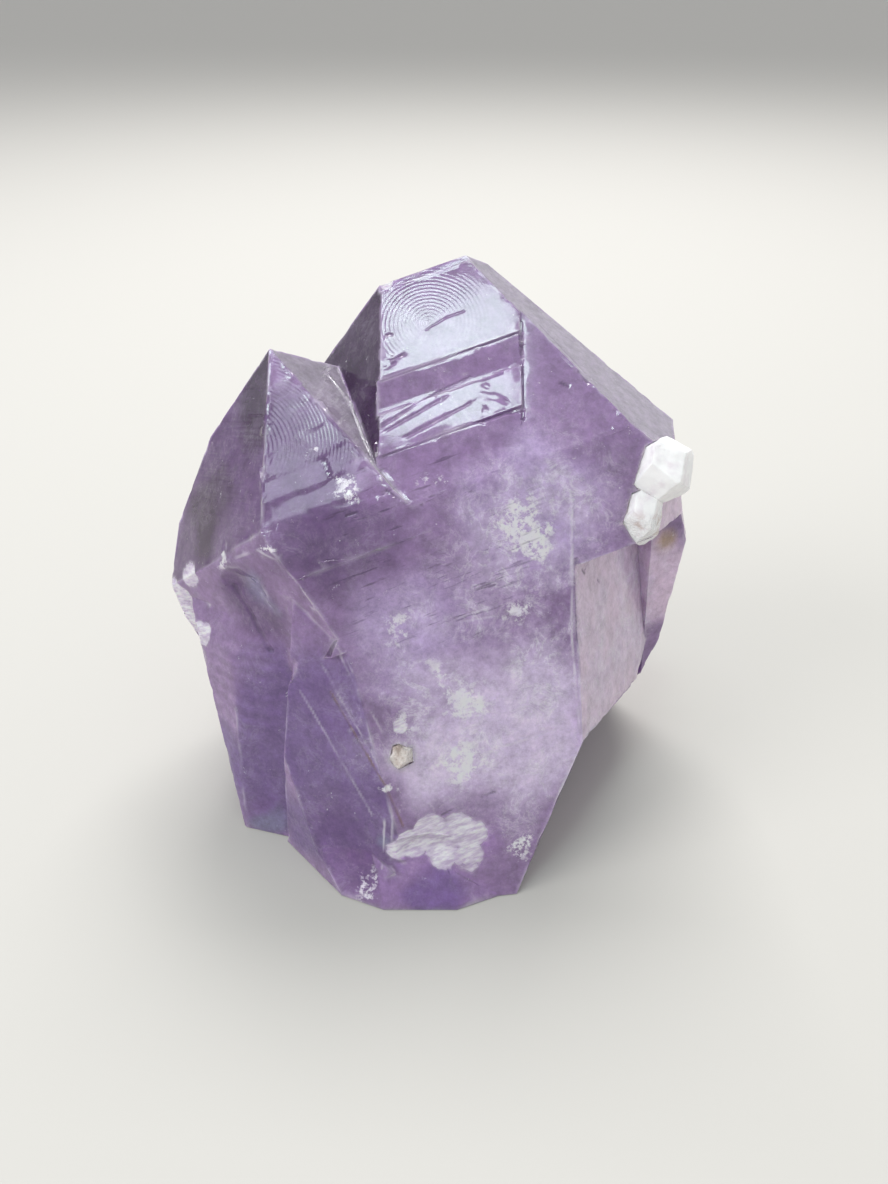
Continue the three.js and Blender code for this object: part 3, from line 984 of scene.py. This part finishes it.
@dataclass
class AmethystBody:
    """The amethyst itself: a finely divided copy of the solid with its growth relief and wear, and painted
    highlights and shade along some edges and lines.
    """

    finish: AmethystFinish
    body_tone: Tone = Tone.MAUVE
    right_slope_tone: Tone = Tone.SLOPE
    left_slope_tone: Tone = Tone.DEEP
    cell_mm: float = 7.0
    coarse_mm: float = 3.0
    edge_mm: float = 1.3
    fine_mm: float = 0.62
    sharp_edge_deg: float = 24.0
    terrace_mm: float = 6.5
    terrace_depth_mm: float = 0.07
    shell_depth_mm: float = 0.45
    bruise_depth_mm: float = 0.2
    chip_depth_mm: float = 0.8
    chip_reach_mm: float = 1.8
    plate_level_mm: float = 34.89
    growth_step_mm: float = 0.6
    plate_feet: tuple[PlateFoot, ...] = (
        PlateFoot((385, 379), (490, 346)),
        PlateFoot((400, 440), (515, 417)),
    )
    seam_px: tuple[float, float] = (521, 380)
    pit_zone: Zone = Zone((492, 402), 5.5, 3.0)
    pit_depth_mm: float = 0.5
    flat_zone: Zone = Zone((455, 350), 34, 26)
    main_ripple_zone: Zone = Zone((430, 322), 17, 9)
    left_ripple_zone: Zone = Zone((300, 400), 22, 8)
    dash_zone: Zone = Zone((420, 540), 34, 16)
    base_milk: float = 0.08
    zone_milk: float = 0.6
    root_milk: float = 0.8
    root_mm: float = 70.0
    milk_zones: tuple[Zone, ...] = (
        Zone((500, 700), 42, 14), Zone((545, 520), 24, 8), Zone((625, 610), 24, 12),
    )
    soft_zones: tuple[Zone, ...] = (Zone((245, 650), 19, 9), Zone((420, 885), 9, 4))
    calm_zones: tuple[Zone, ...] = (Zone((610, 620), 22, 14), Zone((665, 590), 14, 8))
    band_zone: Zone = Zone((245, 690), 19, 8)
    band_mm: float = 3.4
    band_strength: float = 0.14
    border_waver_mm: float = 7
    veil_and_glint_tear_mm: float = 3
    slope_share: float = 0.9
    rough_edge_zone: Zone = Zone((538, 812), 16, 8)
    piece: bpy.types.Object | None = field(default=None, init=False)

    def build(self) -> bpy.types.Object:
        """Builds the piece, sculpts it and dresses it.

        Returns:
            The finished piece.
        """
        self.piece = Work.merged_copy(BODY_NODE, "amethyst_body")
        Work.cut_in_cells(self.piece, self.cell_mm)
        Work.refine(self.piece, Work.everywhere, self.coarse_mm)
        self._soften()
        self._refine()
        self._sculpt()
        Work.choose(self.piece)
        bpy.ops.object.shade_smooth_by_angle(angle=radians(self.sharp_edge_deg))
        self.piece.data.materials.append(self.finish.build())
        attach(self.piece, "root")
        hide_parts(BODY_NODE)
        return self.piece

    def _soften(self) -> None:
        """Rounds the creases of the broken flank and of the foot."""
        places = Work.places(self.piece)
        least_strength = 0.3
        rest_mm = 1.5
        inside = sum(zone.strength(places) for zone in self.soft_zones) > least_strength
        inside &= places[:, 2] > rest_mm * MM
        Work.choose(self.piece)
        Work.select_faces(self.piece, inside)
        bpy.ops.object.mode_set(mode="EDIT")
        bpy.ops.mesh.select_mode(type="FACE")
        bpy.ops.mesh.vertices_smooth(factor=0.5, repeat=12)
        bpy.ops.mesh.select_mode(type="VERT")
        bpy.ops.object.mode_set(mode="OBJECT")

    def _refine(self) -> None:
        """Divides the mesh more finely round edges, grooves and bruises."""
        near_edge_mm = 1.5
        Work.refine(
            self.piece,
            lambda places: (self._edge_distance(places) < near_edge_mm) & (places[:, 2] > 0.5 * MM),
            self.edge_mm,
        )
        Work.refine(self.piece, lambda places: self._near_marks(places, 0.4), self.fine_mm)
        LOG.info("refined to %d faces", len(self.piece.data.polygons))

    @staticmethod
    def _near_marks(places: np.ndarray, margin_mm: float) -> np.ndarray:
        """Tells which places lie near a groove or in a bruise."""
        near = np.zeros(len(places), bool)
        for groove in GROOVES:
            near |= groove.away(places) < groove.half_width_mm + margin_mm
        for bruise in BRUISES:
            near |= bruise.strength(places) > 0.05
        return near

    def _edge_distance(self, places: np.ndarray) -> np.ndarray:
        """Gives each vertex's distance from the nearest sharp edge, in millimetres."""
        shape = bmesh.new()
        shape.from_mesh(self.piece.data)
        limit = radians(self.sharp_edge_deg)
        on_edge = {
            vertex.index
            for edge in shape.edges
            if len(edge.link_faces) == 2 and edge.calc_face_angle(0.0) > limit
            for vertex in edge.verts
        }
        shape.free()
        tree = kdtree.KDTree(len(on_edge))
        for index in on_edge:
            tree.insert(Vector(places[index]), index)
        tree.balance()
        return np.array([tree.find(Vector(p))[2] for p in places]) / MM

    @staticmethod
    def _facing(normals: np.ndarray, side: Side, angle_deg: float) -> np.ndarray:
        """Gives how well each vertex faces as a crystal face does, from 0 to 1."""
        least_likeness = 0.985
        full_after = 0.01
        towards = normals @ np.array(LATTICE.normal(side, angle_deg))
        return np.clip((towards - least_likeness) / full_after, 0, 1)

    def _sculpt(self) -> None:
        """Moves the vertices for terraces, breaks, grooves and chips, and stores what the finish reads."""
        places = Work.places(self.piece)
        normals = Work.normals(self.piece)
        away = self._edge_distance(places)
        ends = {side: self._facing(normals, side, LATTICE.termination_deg) for side in Side}
        walls = {side: self._facing(normals, side, LATTICE.prism_deg) for side in Side}
        rounding = self._facing(normals, Side.FRONT, 61.5) + self._facing(normals, Side.FRONT, 71.3)
        grown = np.clip(sum(ends.values()) + sum(walls.values()) + rounding, 0, 1)
        calm = np.clip(sum(zone.strength(places) for zone in self.calm_zones), 0, 1)
        broken = (1 - grown) * (normals[:, 2] > -0.97) * (1 - 0.9 * calm)

        height = self._terraces(places, ends, walls)
        height += self._below_plates(places)
        inside_face = np.clip(away / 1.5, 0, 1)
        waves = 0.7 * Work.cloud(places, 11.0, 3.0) + 0.3 * Work.cloud(places, 4.0, 9.0)
        height += self.shell_depth_mm * waves * broken * inside_face

        frost = self._frost(places)
        height -= self.bruise_depth_mm * frost * (0.7 + 0.3 * Work.cloud(places, 2.4, 5.0))

        pits = np.clip(Work.cloud(places, 1.7, 51.0) - 0.1, 0, 1) * self.pit_zone.strength(places)
        height -= self.pit_depth_mm * pits

        lines = {mark: np.zeros(len(places)) for mark in Mark}
        patchy = np.clip(0.6 + 1.3 * Work.cloud(places, 3.1, 37.0), 0, 1)
        for groove in GROOVES:
            strength = groove.strength(places)
            height -= groove.depth_mm * strength
            if groove.mark:
                shown = groove.mark_strength * strength * patchy
                lines[groove.mark] = np.maximum(lines[groove.mark], shown)

        rough_edge = self.rough_edge_zone.strength(places)
        nick = np.clip(Work.cloud(places, 5.0, 17.0) - 0.12 + 0.3 * rough_edge, 0, 1) * 1.6
        fine_nick = np.clip(Work.cloud(places, 1.8, 23.0) - 0.1, 0, 1)
        at_edge = np.clip(1 - away / self.chip_reach_mm, 0, 1) ** 1.5
        kept = 1 - 0.75 * self.flat_zone.strength(places)
        height -= self.chip_depth_mm * (0.5 * nick + 0.35 * fine_nick) * at_edge * kept
        # Pale lines along the sharp edges: partly worn, frosted rims and partly a painted rim highlight.
        edge_wear_and_highlight = eased(1 - away / 0.8) * np.clip(0.25 + 0.9 * Work.cloud(places, 6.0, 31.0), 0, 1)
        lines[Mark.PALE] = np.maximum(lines[Mark.PALE], (0.45 + 0.35 * rough_edge) * edge_wear_and_highlight)

        low = places[:, 2] < 0.3 * MM
        height[low] = 0.0
        moved = places + normals * (height * MM)[:, None]
        moved[:, 2] = np.where(low, places[:, 2], np.maximum(moved[:, 2], 0.0))
        Work.put(self.piece, moved)

        milky = np.clip(sum(zone.strength(places) for zone in self.milk_zones), 0, 1)
        behind = eased((places[:, 1] / MM - 5) / 25)
        milky = np.maximum(milky, self.root_milk * behind * eased(1.1 - places[:, 2] / (self.root_mm * MM)))
        waver = np.stack([Work.cloud(places, 3.0, offset) for offset in (61.0, 63.0, 67.0)], axis=1)
        torn = places + waver * self.veil_and_glint_tear_mm * MM
        left_of_seam = places[:, 0] < VIEW.spot(self.seam_px).x
        stored = {
            "tint": self._tint(places, normals, ends),
            "frost": frost,
            "milk": self.base_milk + self.zone_milk * milky,
            "veil_and_glint": np.clip(sum(zone.strength(torn) for zone in VEILS_AND_GLINTS), 0, 1),
            "dash": self.dash_zone.strength(places),
            "broken": broken,
            "main_ripple": ends[Side.FRONT] * self.main_ripple_zone.strength(places) * left_of_seam,
            "left_ripple": ends[Side.FRONT] * self.left_ripple_zone.strength(places),
            "striate": np.clip(
                0.3 * walls[Side.FRONT] + 0.15 * rounding + ends[Side.RIGHT] + 0.8 * ends[Side.LEFT], 0, 1
            ),
            **{mark.value: values for mark, values in lines.items()},
        }
        for name, values in stored.items():
            Work.store(self.piece, name, values)

    def _terraces(self, places: np.ndarray, ends: dict, walls: dict) -> np.ndarray:
        """Gives shallow saw-toothed growth steps across each crystal face, in millimetres."""
        height = np.zeros(len(places))
        for side in Side:
            normal = LATTICE.normal(side, LATTICE.termination_deg)
            up = np.array(normal.cross(LATTICE.along(normal)))
            along = places @ up / (self.terrace_mm * MM) + 0.8 * Work.cloud(places, 26.0, side.value)
            saw = along - np.floor(along)
            height -= self.terrace_depth_mm * saw * np.clip(ends[side] + walls[side], 0, 1)
        return height * (1 - self.flat_zone.strength(places))

    def _below_plates(self, places: np.ndarray) -> np.ndarray:
        """Gives the slopes below the two raised plates, which so mirror something darker than they do."""
        normal = LATTICE.normal(Side.FRONT, LATTICE.termination_deg)
        level = (places - np.array(place(0, 0, 50))) @ np.array(normal) / MM
        down = self.plate_level_mm - level
        lowered = (down > 0) & (down < self.growth_step_mm + 0.1)
        lowered &= places[:, 0] < VIEW.spot(self.seam_px).x
        slopes = [foot.fill(places, normal) for foot in self.plate_feet]
        return np.where(lowered, down * np.maximum(*slopes), 0.0)

    @staticmethod
    def _frost(places: np.ndarray) -> np.ndarray:
        """Gives how bruised each place is, with ragged edges."""
        ragged = 0.7 * Work.cloud(places, 3.4, 5.0) + 0.35 * Work.cloud(places, 1.1, 8.0)
        frost = np.zeros(len(places))
        for bruise in BRUISES:
            strength = bruise.strength(places)
            frost = np.maximum(frost, strength + 0.8 * ragged * (strength > 0))
        return eased(frost * 1.15 - 0.15)

    def _tint(self, places: np.ndarray, normals: np.ndarray, ends: dict) -> np.ndarray:
        """Gives each vertex its colour from the zones, with wavering borders."""
        waver = np.stack([Work.cloud(places, 12.0, offset) for offset in (41.0, 43.0, 47.0)], axis=1)
        moved = places + waver * self.border_waver_mm * MM
        colours = np.tile(linear(self.body_tone.value), (len(places), 1))
        for side, tone in ((Side.RIGHT, self.right_slope_tone), (Side.LEFT, self.left_slope_tone)):
            share = self.slope_share * ends[side][:, None]
            colours = colours * (1 - share) + np.array(linear(tone.value)) * share
        slope = ends[Side.RIGHT][:, None]
        for zone in COLOUR_ZONES:
            share = zone.share(moved, normals)[:, None] * (1 - 0.8 * slope)
            colours = colours * (1 - share) + np.array(linear(zone.tone.value)) * share
        bands = np.sin(2 * np.pi * places[:, 2] / (self.band_mm * MM) + 3 * waver[:, 0])
        colours[:, :3] *= (1 + self.band_strength * bands * self.band_zone.strength(places))[:, None]
        return colours


@dataclass
class WhiteQuartz:
    """A piece of white quartz seated in the amethyst's surface."""

    node: str
    name: str
    slot: str
    finish: WhiteQuartzFinish
    cell_mm: float
    fine_mm: float
    lump_mm: float
    lump_depth_mm: float
    sugar_below_mm: float
    seat_fill_mm: float = 0.25
    facet_deg: float = 24.0

    def build(self) -> bpy.types.Object:
        """Builds the piece from its solid and gives it lumps and facets.

        Returns:
            The finished piece.
        """
        piece = Work.merged_copy(self.node, self.name)
        Work.cut_in_cells(piece, self.cell_mm)
        Work.refine(piece, Work.everywhere, self.fine_mm)
        places = Work.places(piece)
        normals = Work.normals(piece)
        sugar = eased((self.sugar_below_mm * MM - places[:, 2]) / (3 * MM))
        lumps = Work.cloud(places, self.lump_mm, 2.0) + 0.5 * Work.cloud(places, self.lump_mm / 2.6, 7.0)
        depth = self.lump_depth_mm * (0.45 + 0.55 * sugar)
        outward = self.seat_fill_mm + (lumps - 0.2) * depth
        Work.put(piece, places + normals * (outward * MM)[:, None])
        Work.store(piece, "sugar", sugar)
        Work.choose(piece)
        bpy.ops.object.shade_smooth_by_angle(angle=radians(self.facet_deg))
        piece.data.materials.append(self.finish.build())
        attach(piece, "root")
        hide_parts(self.node)
        return piece


@dataclass(frozen=True)
class Softbox:
    """A soft light: where it hangs and looks, its size in metres, its power and its colour."""

    name: str
    location: tuple[float, float, float]
    size: tuple[float, float]
    watts: float
    target: tuple[float, float, float] = (0.0, 0.0, 0.06)
    colour: str = "#FFFFFF"

    def build(self) -> None:
        """Hangs the light, pointed at its target."""
        data = bpy.data.lights.new(self.name, "AREA")
        data.shape = "RECTANGLE"
        data.size, data.size_y = self.size
        data.energy = self.watts
        data.color = linear(self.colour)[:3]
        light = bpy.data.objects.new(self.name, data)
        bpy.context.scene.collection.objects.link(light)
        light.location = self.location
        towards = Vector(self.target) - Vector(self.location)
        light.rotation_euler = towards.to_track_quat("-Z", "Y").to_euler()


@dataclass(frozen=True)
class Studio:
    """A plain pale floor, soft light and the camera at the photograph's viewing angle."""

    floor_size: float = 60.0
    floor_colour: str = "#B9B6B1"
    sky_colour: str = "#D4D6D8"
    sky_strength: float = 1.1
    softboxes: tuple[Softbox, ...] = (
        Softbox("front_strip", (-0.10, -0.195, 1.2), (0.22, 0.22), 1.9, (-0.10, -0.195, 0), "#DFF8F0"),
        Softbox("left_strip", (-0.34, -0.28, 1.2), (0.20, 0.28), 0.7, (-0.34, -0.28, 0), "#E9F3FF"),
        Softbox("back_softbox", (0.10, 0.75, 1.15), (0.8, 0.5), 16.0),
        Softbox("left_softbox", (-1.3, -0.5, 0.9), (0.8, 0.8), 11.0),
    )

    def build(self) -> None:
        """Makes the floor, the lights, the sky and the camera."""
        self._floor()
        for softbox in self.softboxes:
            softbox.build()
        self._sky()
        self._camera()
        bpy.context.scene.view_settings.view_transform = "Standard"

    def _floor(self) -> None:
        """Lays the floor under the part."""
        bpy.ops.mesh.primitive_plane_add(size=self.floor_size, location=(0, 0, -0.0002))
        floor = bpy.context.object
        floor.name = "studio_floor"
        graph = NodeGraph("floor_matt_paint")
        shader = graph.add(
            "ShaderNodeBsdfPrincipled", {"Base Color": linear(self.floor_colour), "Roughness": 0.8}
        )
        graph.add("ShaderNodeOutputMaterial", {"Surface": shader})
        floor.data.materials.append(graph.material)

    def _sky(self) -> None:
        """Sets an even pale surrounding."""
        world = bpy.data.worlds.new("studio_sky")
        world.use_nodes = True
        background = world.node_tree.nodes["Background"]
        background.inputs["Color"].default_value = linear(self.sky_colour)
        background.inputs["Strength"].default_value = self.sky_strength
        bpy.context.scene.world = world

    @staticmethod
    def _camera() -> None:
        """Sets the camera where the photograph was taken from."""
        data = bpy.data.cameras.new("photo_camera")
        data.sensor_width = SENSOR_MM
        data.lens = VIEW.focal_px / IMAGE_HEIGHT_PX * SENSOR_MM
        data.clip_start = 0.01
        camera = bpy.data.objects.new("photo_camera", data)
        bpy.context.scene.collection.objects.link(camera)
        camera.location = VIEW.camera
        camera.rotation_euler = (radians(90 - VIEW.pitch_deg), 0, 0)
        bpy.context.scene.camera = camera


def main() -> None:
    """Builds every piece in order and reports each."""
    logging.basicConfig(level=logging.INFO)
    pieces = [
        AmethystBody(AmethystFinish()),
        WhiteQuartz(
            "white_quartz_crystal", "white_crystal", "white_quartz", WhiteQuartzFinish(),
            cell_mm=4.0, fine_mm=0.6, lump_mm=4.0, lump_depth_mm=0.45, sugar_below_mm=84.0,
        ),
        WhiteQuartz(
            "white_quartz_grain", "white_grain", "grain_quartz",
            WhiteQuartzFinish("grain_quartz_rough", "#DDD5D0", "#BFAFA8", "#8E7A6C", 0.4, 0.6, 0.05),
            cell_mm=2.5, fine_mm=0.35, lump_mm=1.6, lump_depth_mm=0.3, sugar_below_mm=50.0,
        ),
    ]
    for maker in pieces:
        piece = maker.build()
        LOG.info("%s: %d faces", piece.name, len(piece.data.polygons))
    Studio().build()


if __name__ == "__main__":
    main()
